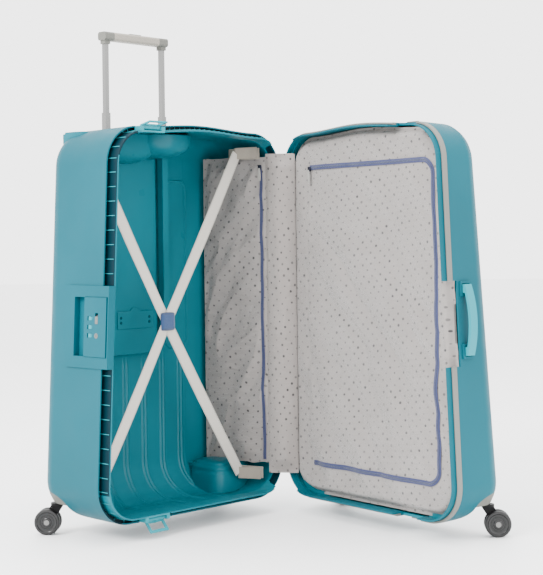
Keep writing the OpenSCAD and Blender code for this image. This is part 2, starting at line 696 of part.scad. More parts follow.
strap_anchors();
strap_rising();
strap_falling();
strap_pad();
side_pocket();
pocket_puller();
gusset_base();
gusset_lid();
lid_lining();
lining_puller();
carry_handle();
handle_sockets();
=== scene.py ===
"""Looks of a hard shell suitcase that stands open on its casters."""

import json
import math

import bmesh
import bpy
from mathutils import Matrix, Vector, noise


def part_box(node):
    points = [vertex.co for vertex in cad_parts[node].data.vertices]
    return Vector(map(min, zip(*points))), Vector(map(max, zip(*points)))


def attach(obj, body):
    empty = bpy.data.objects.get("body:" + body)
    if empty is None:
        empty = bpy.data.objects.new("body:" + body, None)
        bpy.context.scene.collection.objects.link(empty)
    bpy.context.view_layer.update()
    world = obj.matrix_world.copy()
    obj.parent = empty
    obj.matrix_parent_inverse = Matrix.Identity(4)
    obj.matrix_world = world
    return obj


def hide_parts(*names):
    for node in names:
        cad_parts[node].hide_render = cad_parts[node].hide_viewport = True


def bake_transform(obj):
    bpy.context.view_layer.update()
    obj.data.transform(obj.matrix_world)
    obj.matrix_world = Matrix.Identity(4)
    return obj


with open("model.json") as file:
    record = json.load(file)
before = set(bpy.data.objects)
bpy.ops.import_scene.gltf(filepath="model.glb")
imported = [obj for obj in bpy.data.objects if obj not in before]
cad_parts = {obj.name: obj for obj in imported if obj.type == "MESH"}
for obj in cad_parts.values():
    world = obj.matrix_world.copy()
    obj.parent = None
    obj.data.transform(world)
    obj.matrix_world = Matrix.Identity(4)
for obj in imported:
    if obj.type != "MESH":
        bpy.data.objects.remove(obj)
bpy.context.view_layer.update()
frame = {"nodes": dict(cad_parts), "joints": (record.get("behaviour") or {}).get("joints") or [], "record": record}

# ---- the case, in millimetres, as the solids have it ----

MM = 0.001
CASE_W, TOP_TAPER = 504, 30
RIM_BOTTOM, RIM_TOP, TOP_ARCH = 32, 784, 8
BASE_DEPTH, LID_DEPTH, LID_LEAN = 184, 133, 28
CORNER_R, BACK_R, WALL = 75, 45, 3
HINGE_GAP, DRAFT, LIP = 6, 2, 3
CHANNEL_W, CHANNEL_DEPTH = 10.4, 12
INNER_STAND, TONGUE_STAND, SEAL_DEPTH = 20, 10, 12
HALF_OPEN = math.radians(41)
TAPER = math.atan(TOP_TAPER / (RIM_TOP - RIM_BOTTOM - 2 * CORNER_R))
HOUSING_BOTTOM, HOUSING_RISE, HOUSING_LEN, HOUSING_SIDE = 62, 27, 70, 100
FOOT_LEN, FOOT_DROP = 20, 24
LOCK_Z, CARRY_Z, LATCH_U = 406, 412, 372
TUBES = (190, 340)
TUBE_DEPTH = 160

hinge = next(j["pos_m"] for j in frame["joints"] if j["name"] == "lid_hinge")
HALVES = {
    "base": Matrix.Translation((hinge[0], hinge[1], 0)) @ Matrix.Rotation(math.pi - HALF_OPEN, 4, "Z"),
    "lid": Matrix.Translation((hinge[0], hinge[1], 0)) @ Matrix.Rotation(HALF_OPEN, 4, "Z")
    @ Matrix.Diagonal((1, -1, 1, 1)),
}


def at(half, v, u, z):
    """A point from its depth behind the rim, distance from the hinge and height."""
    return HALVES[half] @ (Vector((v, u, z)) * MM)


def width_at(z):
    return CASE_W - (z - RIM_BOTTOM - CORNER_R) * math.tan(TAPER)


def wall_matrix(half, z):
    """The frame on the lock side wall: X depth, Y outwards, Z up the wall."""
    place = Matrix.Translation(Vector((0, width_at(z), z)) * MM)
    return HALVES[half] @ place @ Matrix.Rotation(TAPER, 4, "X")


def arc(cu, cz, r, start, end, steps):
    angles = [math.radians(start + (end - start) * i / steps) for i in range(steps + 1)]
    return [(cu + r * math.cos(a), cz + r * math.sin(a)) for a in angles]


def outline(inset, steps=14):
    """The case's outline across the rim, moved inwards by inset."""
    r = CORNER_R - inset
    near, far = HINGE_GAP + CORNER_R, CASE_W - CORNER_R
    low, high = RIM_BOTTOM + CORNER_R, RIM_TOP - CORNER_R
    tilt = math.degrees(TAPER)
    top = []
    for i in range(1, steps):
        s = i / steps
        top.append((far - TOP_TAPER + (near - far + TOP_TAPER) * s,
                    RIM_TOP - inset + TOP_ARCH * (1 - math.cos(2 * math.pi * s)) / 2))
    return (arc(far, low, r, -90, tilt, steps) + arc(far - TOP_TAPER, high, r, tilt, 90, steps) + top
            + arc(near, high, r, 90, 180, steps) + arc(near, low, r, 180, 270, steps))


def top_at(u):
    near, far = HINGE_GAP + CORNER_R, CASE_W - CORNER_R - TOP_TAPER
    return RIM_TOP + TOP_ARCH * (1 - math.cos(2 * math.pi * (u - near) / (far - near))) / 2


def back_rings(depth, inner, steps=10):
    rings = []
    for i in range(steps, -1, -1):
        a = math.pi / 2 * i / steps
        rings.append((DRAFT + inner + (BACK_R - inner) * (1 - math.cos(a)),
                      depth - BACK_R + (BACK_R - inner) * math.sin(a)))
    return rings


# ---- meshes ----


def new_object(name, verts, faces, uvs=None):
    mesh = bpy.data.meshes.new(name)
    mesh.from_pydata([tuple(v) for v in verts], [], faces)
    if uvs is not None:
        layer = mesh.uv_layers.new(name="UVMap")
        for loop in mesh.loops:
            layer.data[loop.index].uv = uvs[loop.vertex_index]
    mesh.update()
    obj = bpy.data.objects.new(name, mesh)
    bpy.context.scene.collection.objects.link(obj)
    return obj


def smooth(obj, angle=35):
    obj.data.polygons.foreach_set("use_smooth", [True] * len(obj.data.polygons))
    obj.data.set_sharp_from_angle(angle=math.radians(angle))
    obj.data.update()
    return obj


def outward(obj):
    bm = bmesh.new()
    bm.from_mesh(obj.data)
    bmesh.ops.recalc_face_normals(bm, faces=bm.faces)
    bm.to_mesh(obj.data)
    bm.free()
    return obj


def apply_modifiers(obj):
    evaluated = obj.evaluated_get(bpy.context.evaluated_depsgraph_get())
    mesh = bpy.data.meshes.new_from_object(evaluated)
    obj.modifiers.clear()
    obj.data = mesh
    return obj


def bevel(obj, width, segments=2, angle=40):
    mod = obj.modifiers.new("bevel", "BEVEL")
    mod.width, mod.segments = width * MM, segments
    mod.limit_method, mod.angle_limit = "ANGLE", math.radians(angle)
    mod.harden_normals = False
    return obj


def even_normals(obj):
    mod = obj.modifiers.new("normals", "WEIGHTED_NORMAL")
    mod.keep_sharp = True
    return obj


def cut(obj, cutters):
    """Takes closed cutter pieces out of obj."""
    for cutter in cutters:
        mod = obj.modifiers.new("cut", "BOOLEAN")
        mod.operation, mod.solver, mod.object = "DIFFERENCE", "EXACT", cutter
    apply_modifiers(obj)
    for cutter in cutters:
        bpy.data.objects.remove(cutter)
    return obj


def grid(rows, columns, around=False):
    """Faces over rows of points, each row open or closed into a ring."""
    return [(r * columns + c, r * columns + (c + 1) % columns,
             (r + 1) * columns + (c + 1) % columns, (r + 1) * columns + c)
            for r in range(rows - 1) for c in range(columns if around else columns - 1)]


BOX_FACES = ((0, 1, 3, 2), (4, 6, 7, 5), (0, 4, 5, 1), (2, 3, 7, 6), (0, 2, 6, 4), (1, 5, 7, 3))


def block(name, matrix, low, high):
    """A box between two corners, in millimetres of the matrix's frame."""
    corners = [(x, y, z) for x in (low[0], high[0]) for y in (low[1], high[1]) for z in (low[2], high[2])]
    return outward(new_object(name, [matrix @ (Vector(c) * MM) for c in corners], BOX_FACES))


def prism(name, matrix, points, low, high):
    """A polygon in the frame's X and Z, drawn out along Y from low to high."""
    n = len(points)
    verts = [matrix @ (Vector((x, y, z)) * MM) for y in (low, high) for x, z in points]
    faces = [tuple(range(n)), tuple(range(2 * n - 1, n - 1, -1))]
    faces += [(i, (i + 1) % n, n + (i + 1) % n, n + i) for i in range(n)]
    return outward(new_object(name, verts, faces))


def leaned(half, v, z):
    """Depth of a point once the lid's back leans in towards its top."""
    lean = LID_LEAN if half == "lid" else 0
    share = min(max((v - 30) / (LID_DEPTH - 60), 0), 1)
    return v - lean * share * (z - RIM_BOTTOM) / (RIM_TOP - RIM_BOTTOM)


def loft(name, half, rings, cap=True):
    """Rings of the outline, each (inset, depth) or (inset, function of u giving the depth)."""
    loops = []
    for inset, depth in rings:
        loops.append([at(half, leaned(half, depth(u) if callable(depth) else depth, z), u, z)
                      for u, z in outline(inset)])
    n = len(loops[0])
    verts = [p for ring in loops for p in ring]
    faces = grid(len(loops), n, True)
    if cap:
        faces.append(tuple(range(n)))
        faces.append(tuple((len(loops) - 1) * n + i for i in range(n - 1, -1, -1)))
    else:
        last = (len(loops) - 1) * n
        faces += [(last + i, i, (i + 1) % n, last + (i + 1) % n) for i in range(n)]
    return outward(new_object(name, verts, faces))


def surface(name, columns, rows, place, size):
    """A sheet: place(s, t) gives the point, and its UVs run in metres over size."""
    verts, uvs = [], []
    for r in range(rows + 1):
        for c in range(columns + 1):
            s, t = c / columns, r / rows
            verts.append(place(s, t))
            uvs.append((s * size[0], t * size[1]))
    obj = new_object(name, verts, grid(rows + 1, columns + 1), uvs)
    obj.data.polygons.foreach_set("use_smooth", [True] * len(obj.data.polygons))
    return obj


def ribbon(name, path, across, width, thickness, profile=None):
    """A band along path; across(i) is its width direction, profile(x) lifts it off its middle line."""
    stations = profile or [(-1, 0), (-0.94, 1), (0.94, 1), (1, 0)]
    verts, uvs = [], []
    run = 0.0
    for i, p in enumerate(path):
        before, after = path[max(i - 1, 0)], path[min(i + 1, len(path) - 1)]
        along = (after - before).normalized()
        side = across(i).normalized()
        normal = side.cross(along).normalized()
        if i:
            run += (p - path[i - 1]).length
        for x, lift in stations:
            verts.append(p + side * x * width * MM / 2 + normal * lift * thickness * MM / 2)
            uvs.append((x * width * MM / 2, run))
        for x, lift in reversed(stations):
            verts.append(p + side * x * width * MM / 2 - normal * thickness * MM / 2)
            uvs.append((x * width * MM / 2, run))
    w = 2 * len(stations)
    faces = grid(len(path), w, True)
    faces += [tuple(range(w - 1, -1, -1)), tuple((len(path) - 1) * w + c for c in range(w))]
    obj = outward(new_object(name, verts, faces, uvs))
    return smooth(obj, 40)


def lathe(name, matrix, profile, segments=64):
    """A profile of (radius, height) turned about the frame's Z axis."""
    verts, faces = [], []
    m = len(profile)
    for k in range(segments):
        a = 2 * math.pi * k / segments
        verts += [matrix @ (Vector((r * math.cos(a), r * math.sin(a), h)) * MM) for r, h in profile]
    for k in range(segments):
        n = (k + 1) % segments
        faces += [(k * m + i, n * m + i, n * m + (i + 1) % m, k * m + (i + 1) % m) for i in range(m)]
    return smooth(outward(new_object(name, verts, faces)), 30)


def give(obj, material, body=None):
    """The piece's material, and the body it moves with."""
    obj.data.materials.clear()
    obj.data.materials.append(material)
    if body:
        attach(obj, body)
    return obj


# ---- materials ----


class Nodes:
    """A short way to write a node tree."""

    def __init__(self, name):
        self.material = bpy.data.materials.new(name)
        self.material.use_nodes = True
        self.tree = self.material.node_tree
        self.shader = self.tree.nodes["Principled BSDF"]

    def add(self, kind, inputs=None, **settings):
        node = self.tree.nodes.new(kind)
        for key, value in settings.items():
            setattr(node, key, value)
        for key, value in (inputs or {}).items():
            self.put(node.inputs[key], value)
        return node

    def put(self, socket, value):
        if isinstance(value, bpy.types.NodeSocket):
            self.tree.links.new(value, socket)
        else:
            socket.default_value = value

    def math(self, operation, *values, clamp=False):
        node = self.add("ShaderNodeMath", operation=operation, use_clamp=clamp)
        for i, value in enumerate(values):
            self.put(node.inputs[i], value)
        return node.outputs[0]

    def mix(self, factor, a, b):
        node = self.add("ShaderNodeMix", data_type="RGBA")
        self.put(node.inputs[0], factor)
        self.put(node.inputs[6], a)
        self.put(node.inputs[7], b)
        return node.outputs[2]

    def ramp(self, value, low, high, a=0.0, b=1.0):
        node = self.add("ShaderNodeMapRange", {"Value": value, "From Min": low, "From Max": high,
                                               "To Min": a, "To Max": b})
        node.interpolation_type = "SMOOTHSTEP"
        return node.outputs[0]

    def noise(self, vector, scale, detail=3.0, rough=0.5):
        node = self.add("ShaderNodeTexNoise", {"Vector": vector, "Scale": scale, "Detail": detail,
                                               "Roughness": rough})
        return node.outputs[0]

    def where(self):
        return self.add("ShaderNodeTexCoord").outputs["Object"]

    def uv(self):
        split = self.add("ShaderNodeSeparateXYZ", {0: self.add("ShaderNodeTexCoord").outputs["UV"]})
        return split.outputs[0], split.outputs[1]

    def bump(self, height, strength, distance):
        node = self.add("ShaderNodeBump", {"Height": height, "Strength": strength, "Distance": distance})
        self.put(self.shader.inputs["Normal"], node.outputs[0])

    def set(self, **sockets):
        for key, value in sockets.items():
            self.put(self.shader.inputs[key.replace("_", " ")], value)
        return self.material


STUDIO_DARKEN = 0.32


def rgb(r, g, b):
    """A linear colour from 0 to 255 display values, darkened to suit the bright studio."""
    linear = [((c / 255 + 0.055) / 1.055) ** 2.4 if c > 10 else c / 255 / 12.92 for c in (r, g, b)]
    return tuple(STUDIO_DARKEN * c for c in linear) + (1.0,)


def lit(colour, gain):
    """The same colour, brighter."""
    return tuple(min(1.0, c * gain) for c in colour[:3]) + (1.0,)


def moulded(name, colour, roughness=0.42, grain=0.5, shade=0.82, coat=0.0):
    """Injection-moulded plastic: fine leather grain, slow colour variation and faint scuffs."""
    m = Nodes(name)
    p = m.where()
    slow = m.noise(p, 3.0, 4.0)
    scuff = m.ramp(m.noise(p, 60.0, 6.0, 0.7), 0.6, 0.75)
    dark = tuple(c * shade for c in colour[:3]) + (1,)
    light = tuple(min(1, c * 1.06 + 0.006) for c in colour[:3]) + (1,)
    body = m.mix(m.ramp(slow, 0.3, 0.7), dark, colour)
    m.put(m.shader.inputs["Base Color"], m.mix(m.math("MULTIPLY", scuff, 0.18), body, light))
    worn = m.noise(p, 25.0, 5.0)
    m.put(m.shader.inputs["Roughness"], m.ramp(worn, 0.2, 0.8, roughness - 0.05, roughness + 0.08))
    fine = m.math("ADD", m.noise(p, 1500.0, 2.0), m.math("MULTIPLY", m.noise(p, 40.0, 3.0), 0.15))
    m.bump(fine, grain, 0.00025)
    return m.set(Specular_IOR_Level=0.1, Coat_Weight=coat, Coat_Roughness=0.2)


def metal(name, colour, roughness=0.3, stretch=(1, 1, 0.02)):
    """Drawn metal with fine lines along one direction."""
    m = Nodes(name)
    mapped = m.add("ShaderNodeMapping", {"Vector": m.where(), "Scale": stretch}).outputs[0]
    lines = m.noise(mapped, 900.0, 4.0, 0.6)
    dark = tuple(c * 0.8 for c in colour[:3]) + (1,)
    m.put(m.shader.inputs["Base Color"], m.mix(lines, dark, colour))
    m.put(m.shader.inputs["Roughness"], m.ramp(lines, 0.2, 0.8, roughness - 0.06, roughness + 0.1))
    m.bump(lines, 0.15, 0.0001)
    return m.set(Metallic=0.85)


def satin(name, dotted=True, tint=(214, 206, 201)):
    """Satin lining with a slanted lattice of small dark dots of varied size."""
    m = Nodes(name)
    x, y = m.uv()
    vector = m.add("ShaderNodeCombineXYZ", {0: x, 1: y, 2: 0.0}).outputs[0]
    cloth = m.mix(m.noise(vector, 9.0, 4.0), rgb(*[c - 16 for c in tint]), rgb(*tint))
    turned = m.add("ShaderNodeMapping", {"Vector": vector, "Rotation": (0, 0, math.radians(38)),
                                         "Scale": (62.0, 62.0, 1.0)}).outputs[0]
    cells = m.add("ShaderNodeTexVoronoi", {"Vector": turned, "Scale": 1.0, "Randomness": 0.12},
                  voronoi_dimensions="2D")
    size = m.add("ShaderNodeSeparateColor", {0: cells.outputs["Color"]})
    radius = m.ramp(size.outputs[0], 0.0, 1.0, 0.09, 0.17)
    dot = m.math("MULTIPLY", m.ramp(m.math("SUBTRACT", radius, cells.outputs["Distance"]), -0.008, 0.014),
                 m.ramp(size.outputs[1], 0.0, 1.0, 0.6, 1.0))
    colour = m.mix(m.math("MULTIPLY", dot, 0.96 if dotted else 0.0), cloth, rgb(48, 44, 50))
    m.put(m.shader.inputs["Base Color"], colour)
    warp = m.add("ShaderNodeTexWave", {"Vector": vector, "Scale": 900.0, "Distortion": 0.6, "Detail": 1.0},
                 bands_direction="DIAGONAL")
    creases = m.noise(m.add("ShaderNodeMapping", {"Vector": vector, "Rotation": (0, 0, 0.7),
                                                  "Scale": (1.0, 3.2, 1.0)}).outputs[0], 7.0, 4.0, 0.55)
    m.bump(m.math("ADD", m.math("MULTIPLY", warp.outputs["Fac"], 0.02), creases), 0.75, 0.012)
    m.put(m.shader.inputs["Roughness"], m.ramp(creases, 0.3, 0.7, 0.38, 0.52))
    return m.set(Specular_IOR_Level=0.5, Sheen_Weight=0.25, Sheen_Roughness=0.4)


def webbing(name, colour, half_width, stitches=True):
    """Woven strap: chevrons across the weave, darker selvedges and a row of stitches near each edge."""
    m = Nodes(name)
    x, y = m.uv()
    off = m.math("ABSOLUTE", x)
    weave = m.math("SINE", m.math("MULTIPLY", m.math("ADD", off, y), 5200.0))
    cross = m.math("SINE", m.math("MULTIPLY", x, 7000.0))
    shade = m.ramp(m.math("ADD", weave, cross), -1.6, 1.6, 0.0, 1.0)
    dark = tuple(c * 0.8 for c in colour[:3]) + (1,)
    woven = m.mix(shade, dark, colour)
    edge = m.ramp(off, half_width * 0.82, half_width * 0.97)
    row = m.math("MULTIPLY", m.ramp(m.math("ABSOLUTE", m.math("SUBTRACT", off, half_width * 0.86)),
                                    0.0004, 0.0009, 1.0, 0.0),
                 m.ramp(m.math("SINE", m.math("MULTIPLY", y, 1500.0)), 0.0, 0.3))
    woven = m.mix(m.math("MULTIPLY", edge, 0.3), woven, tuple(c * 0.45 for c in colour[:3]) + (1,))
    strong = 0.75 if stitches else 0.0
    m.put(m.shader.inputs["Base Color"], m.mix(m.math("MULTIPLY", row, strong), woven, rgb(96, 92, 86)))
    m.bump(shade, 0.5, 0.0004)
    return m.set(Roughness=0.8, Sheen_Weight=0.3)


def zip_tape(name):
    """Zip tape: herringbone cloth with the coil's teeth along its middle."""
    m = Nodes(name)
    x, y = m.uv()
    off = m.math("ABSOLUTE", x)
    coil = m.ramp(off, 0.0016, 0.0022, 1.0, 0.0)
    teeth = m.ramp(m.math("SINE", m.math("MULTIPLY", y, 3600.0)), -0.2, 0.5)
    weave = m.ramp(m.math("SINE", m.math("MULTIPLY", m.math("ADD", off, y), 5600.0)), -1.0, 1.0)
    tape = m.mix(weave, rgb(34, 48, 122), rgb(58, 76, 152))
    seam = m.ramp(m.math("ABSOLUTE", m.math("SUBTRACT", off, 0.0036)), 0.0002, 0.0006, 1.0, 0.0)
    tape = m.mix(m.math("MULTIPLY", seam, 0.5), tape, rgb(28, 38, 84))
    m.put(m.shader.inputs["Base Color"], m.mix(coil, tape, m.mix(teeth, rgb(22, 30, 76), rgb(56, 76, 140))))
    m.bump(m.math("ADD", m.math("MULTIPLY", coil, teeth), m.math("MULTIPLY", weave, 0.25)), 0.7, 0.0006)
    return m.set(Roughness=0.7, Sheen_Weight=0.2)


def rubber(name):
    m = Nodes(name)
    p = m.where()
    dust = m.noise(p, 30.0, 5.0, 0.6)
    m.put(m.shader.inputs["Base Color"], m.mix(m.ramp(dust, 0.4, 0.8), rgb(20, 20, 22), rgb(46, 45, 46)))
    m.put(m.shader.inputs["Roughness"], m.ramp(dust, 0.2, 0.8, 0.42, 0.6))
    m.bump(m.noise(p, 700.0, 3.0), 0.2, 0.0003)
    return m.set(Specular_IOR_Level=0.4)


def floor_material():
    m = Nodes("studio_floor")
    p = m.where()
    pale = m.mix(m.noise(p, 2.0, 3.0), (0.86, 0.86, 0.86, 1), (0.9, 0.9, 0.9, 1))
    m.put(m.shader.inputs["Base Color"], pale)
    m.bump(m.noise(p, 120.0, 3.0), 0.05, 0.0005)
    return m.set(Roughness=0.55)


TEAL = moulded("shell_teal", rgb(0, 134, 154), 0.45)
# dark teal: used for the screws, grip cup and corner plates, and as painted shade in the rim's channel
DARK_TEAL_AND_CHANNEL_SHADE = moulded("dark_teal_and_channel_shade", rgb(0, 58, 72), 0.5)
INNER = moulded("inner_teal", rgb(8, 160, 180), 0.32, coat=0.1)
PALE = moulded("pale_teal", rgb(44, 208, 226), 0.3, 0.15, 0.9, 0.2)
GREY = moulded("corner_grey", rgb(166, 166, 158), 0.55, 0.7)
SEAL = moulded("seal_grey", rgb(176, 178, 172), 0.45, 0.4)
CREAM = moulded("grip_cream", rgb(226, 218, 204), 0.4, 0.3, 0.92)
BLACK = moulded("black_nylon", rgb(30, 30, 32), 0.45, 0.4)
WHITE = moulded("axle_white", rgb(226, 224, 218), 0.35, 0.2, 0.92)
TUBE = metal("tube_metal", rgb(206, 206, 204), 0.28)
STEEL = metal("steel", rgb(190, 190, 188), 0.3)
SLIDER = metal("slider_metal", rgb(70, 74, 96), 0.35)
FABRIC = satin("lining_satin")
STRAP = webbing("strap_webbing", lit(rgb(246, 240, 228), 1.7), 0.0125)
ANCHOR = webbing("anchor_webbing", rgb(222, 210, 192), 0.012, False)
ZIP = zip_tape("zip_tape")
BLUE = webbing("blue_patch", rgb(34, 92, 160), 0.017)
RUBBER = rubber("wheel_rubber")
GLOSS = moulded("wheel_gloss", rgb(26, 27, 28), 0.18, 0.1, 0.9, 0.6)


# ---- camera, light and floor ----


def set_up_camera():
    data = bpy.data.cameras.new("camera")
    camera = bpy.data.objects.new("camera", data)
    bpy.context.scene.collection.objects.link(camera)
    data.sensor_fit, data.sensor_width, data.sensor_height = "AUTO", 36.0, 36.0
    data.lens = 36.0 * 1413.6 / 575
    data.shift_x, data.shift_y = -0.003, -0.084
    turn, roll = math.radians(2.6), math.radians(0.71)
    facing = Matrix.Rotation(turn, 4, "Z") @ Matrix.Rotation(math.pi / 2, 4, "X")
    place = Matrix.Translation((0.1355, -2.825, 0.5655))
    camera.matrix_world = place @ facing @ Matrix.Rotation(-roll, 4, "Z")
    bpy.context.scene.camera = camera


def area_light(name, place, target, size, power, colour=(1, 1, 1)):
    data = bpy.data.lights.new(name, "AREA")
    data.shape, data.size, data.energy, data.color = "SQUARE", size, power, colour
    light = bpy.data.objects.new(name, data)
    bpy.context.scene.collection.objects.link(light)
    light.location = place
    light.rotation_euler = (Vector(target) - Vector(place)).to_track_quat("-Z", "Y").to_euler()


def set_up_studio():
    world = bpy.data.worlds.new("studio")
    bpy.context.scene.world = world
    world.use_nodes = True
    world.node_tree.nodes["Background"].inputs[0].default_value = (1, 1, 1, 1)
    world.node_tree.nodes["Background"].inputs[1].default_value = 4.0
    area_light("key", (-2.0, -2.2, 2.3), (0, 0, 0.4), 1.2, 190)
    area_light("fill", (2.4, -2.2, 1.2), (0, 0, 0.4), 2.0, 45)
    area_light("top", (0.2, 0.4, 2.8), (0, 0, 0.3), 2.0, 60)
    floor = surface("floor", 2, 2, lambda s, t: Vector((s * 24 - 12, t * 24 - 8, 0.0)), (24, 24))
    floor.data.materials.append(floor_material())


set_up_camera()
set_up_studio()

# ---- shells ----


def swing_free(proud):
    """Depth of a wall that stands proud of the rim except beside the hinge."""
    return lambda u: CHANNEL_DEPTH if u < 40 else (-proud if u > 48 else
                                                  CHANNEL_DEPTH - (CHANNEL_DEPTH + proud) * (u - 40) / 8)


def corner_cutter(half, depth, far_side):
    """What a caster's corner housing takes out of the shell."""
    reach, top = HOUSING_LEN, HOUSING_BOTTOM
    back = [(depth + 20, 0), (depth + 20, top + HOUSING_RISE)]
    arch = [(depth - reach * math.sin(a), top + HOUSING_RISE * math.cos(a))
            for a in [math.pi / 2 * i / 8 for i in range(9)]]
    foot = [(depth - reach - FOOT_LEN * (1 - math.cos(a)), top - FOOT_DROP * math.sin(a))
            for a in [math.pi / 2 * i / 8 for i in range(1, 9)]]
    front = [(depth - reach - FOOT_LEN, 0)]
    low, high = ((CASE_W - HOUSING_SIDE, CASE_W + 20) if far_side else
                 (HINGE_GAP - 20, HINGE_GAP + HOUSING_SIDE))
    return prism("corner_cutter", HALVES[half], back + arch + foot + front, low, high)


def lid_notches():
    """The lock's and the latches' notches in the lid's rim."""
    half, low_u, high_u = HALVES["lid"], LATCH_U - 33, LATCH_U + 33
    return [block("cutter", wall_matrix("lid", LOCK_Z), (-11, -16.5, -79), (22, 6, 79)),
            block("cutter", half, (-11, low_u, RIM_BOTTOM - 3), (19, high_u, RIM_BOTTOM + 13.6)),
            block("cutter", half, (-11, low_u, RIM_TOP - 13.5), (19, high_u, RIM_TOP + 20))]


def make_base_shell():
    back = back_rings(BASE_DEPTH, 0)
    rings = back + [(0, 0), (LIP, 0), (LIP, CHANNEL_DEPTH), (CHANNEL_W, CHANNEL_DEPTH),
                    (CHANNEL_W, swing_free(INNER_STAND)), (CHANNEL_W + WALL, swing_free(INNER_STAND)),
                    (CHANNEL_W + WALL, 15), (WALL + 1, 21)] + list(reversed(back_rings(BASE_DEPTH, WALL)))
    obj = loft("base_shell_skin", "base", rings)
    wall, half = wall_matrix("base", LOCK_Z), HALVES["base"]
    low_u, high_u = LATCH_U - 31.3, LATCH_U + 31.3
    cup = (TUBE_DEPTH - 15, TUBE_DEPTH + 14, TUBES[0] - 14, TUBES[1] + 14)
    cutters = [corner_cutter("base", BASE_DEPTH, far) for far in (False, True)]
    cutters.append(block("cutter", wall, (-21, -12.8, -77.3), (2.3, 4, 77.3)))
    cutters.append(block("cutter", wall, (2, -12.8, -60.3), (84.3, 4, 60.3)))
    cutters.append(block("cutter", half, (-21, low_u, RIM_BOTTOM - 1), (2.3, high_u, RIM_BOTTOM + 12.5)))
    cutters.append(block("cutter", half, (-21, low_u, RIM_TOP - 12.5), (2.3, high_u, RIM_TOP + 20)))
    cutters.append(block("cutter", half, (cup[0], cup[2], RIM_TOP - 40), (cup[1], cup[3], RIM_TOP + 30)))
    cut(obj, cutters)
    return obj


def make_lid_shell():
    rings = back_rings(LID_DEPTH, 0) + [(0, SEAL_DEPTH), (5, SEAL_DEPTH), (5, swing_free(TONGUE_STAND)),
                                        (8, swing_free(TONGUE_STAND)), (8, 15), (WALL + 1, 21)]
    obj = loft("lid_shell_skin", "lid", rings + list(reversed(back_rings(LID_DEPTH, WALL))))
    carry = wall_matrix("lid", CARRY_Z)
    cutters = [corner_cutter("lid", LID_DEPTH, far) for far in (False, True)] + lid_notches()
    for side in (-1, 1):
        cutters.append(block("cutter", carry, (32, -6, side * 58 - 9), (52, 1, side * 58 + 9)))
    cut(obj, cutters)
    return obj


def rim_distance(u, z):
    """How far inside the case's outline a point lies."""
    side = min(u - HINGE_GAP, width_at(z) - u)
    end = min(z - RIM_BOTTOM, top_at(min(max(u, 81), 399)) - z)
    if side < CORNER_R and end < CORNER_R:
        return CORNER_R - math.hypot(CORNER_R - side, CORNER_R - end)
    return min(side, end)


def paint_inside(obj, half, depth, inner_material, channel_shade_material, channel):
    """Gives the faces inside the shell their own material. Where channel is set, it paints the rim's channel and
    the inner wall's outer face dark teal as painted shade.
    """
    obj.data.materials.append(inner_material)
    obj.data.materials.append(channel_shade_material)
    back = HALVES[half].inverted()
    for face in obj.data.polygons:
        v, u, z = (back @ face.center) / MM
        n = (back.to_3x3() @ face.normal).normalized()
        middle = Vector((0, (CASE_W + HINGE_GAP) / 2 - u, (RIM_TOP + RIM_BOTTOM) / 2 - z))
        inside = n.dot(middle) > 0 and v > 14 or n.x < -0.5 and v > depth - 20
        if inside:
            face.material_index = 1
        elif channel and v < CHANNEL_DEPTH + 1:
            inset = rim_distance(u, z)
            if inset > CHANNEL_W + 0.8:
                face.material_index = 1
            # painted shade: the channel floor, the lip's inner face and the inner wall's outer face get the dark
            # material
            elif inset > LIP - 0.8:
                face.material_index = 2


base_skin = make_base_shell()
give(base_skin, TEAL, "base")
# the base's rim channel is painted dark teal as shade
paint_inside(base_skin, "base", BASE_DEPTH, INNER, DARK_TEAL_AND_CHANNEL_SHADE, True)
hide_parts("base_shell")
lid_skin = make_lid_shell()
give(lid_skin, TEAL, "lid")
paint_inside(lid_skin, "lid", LID_DEPTH, INNER, DARK_TEAL_AND_CHANNEL_SHADE, False)
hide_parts("lid_shell")
for skin in (base_skin, lid_skin):
    smooth(skin, 32)
    bevel(skin, 0.7)
    even_normals(skin)

# ---- rim: channel ribs and the lid's seal ----


def outline_frame(run, inset):
    """The point at a distance along the outline, with its inward direction."""
    pts = outline(0, 24)
    total = 0.0
    for i in range(len(pts)):
        a, b = pts[i], pts[(i + 1) % len(pts)]
        step = math.dist(a, b)
        if total + step >= run:
            f = (run - total) / step
            du, dz = (b[0] - a[0]) / step, (b[1] - a[1]) / step
            u, z = a[0] + (b[0] - a[0]) * f, a[1] + (b[1] - a[1]) * f
            return u - dz * inset, z + du * inset, -dz, du
        total += step
    return None


def make_ribs():
    length = sum(math.dist(a, b) for a, b in zip(outline(0, 24), outline(0, 24)[1:] + outline(0, 24)[:1]))
    verts, faces = [], []
    run = 4.0
    while run < length:
        u, z, iu, iz = outline_frame(run, 0)
        on_top = z > RIM_TOP - 8
        pitch = 13.5 if on_top else 27.0
        at_lock = abs(z - LOCK_Z) < 84 and u > 300
        at_latch = abs(u - LATCH_U) < 37 and not (60 < z < 700)
        if not at_lock and not at_latch and u > 60:
            slant = 3.5 if on_top else 0.0
            du, dz = -iz * 0.8, iu * 0.8
            for depths, reach in (((-16.5, 0), (11.95, slant)), (8.9, CHANNEL_W - 0.1)), \
                    (((10.3, slant), (11.95, slant)), (LIP + 0.2, 8.8)):
                first = len(verts)
                for depth, skew in depths:
                    for across in reach:
                        for side in (-1, 1):
                            verts.append(at("base", depth, u + iu * across + du * side - iz * skew,
                                            z + iz * across + dz * side + iu * skew))
                faces += [tuple(first + k for k in f) for f in BOX_FACES]
        run += pitch
    obj = outward(new_object("channel_rib_set", verts, faces))
    bevel(obj, 0.25, 1)
    return obj


ribs = give(make_ribs(), moulded("rib_teal", rgb(60, 190, 204), 0.4, 0.2), "base")
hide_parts("channel_ribs")


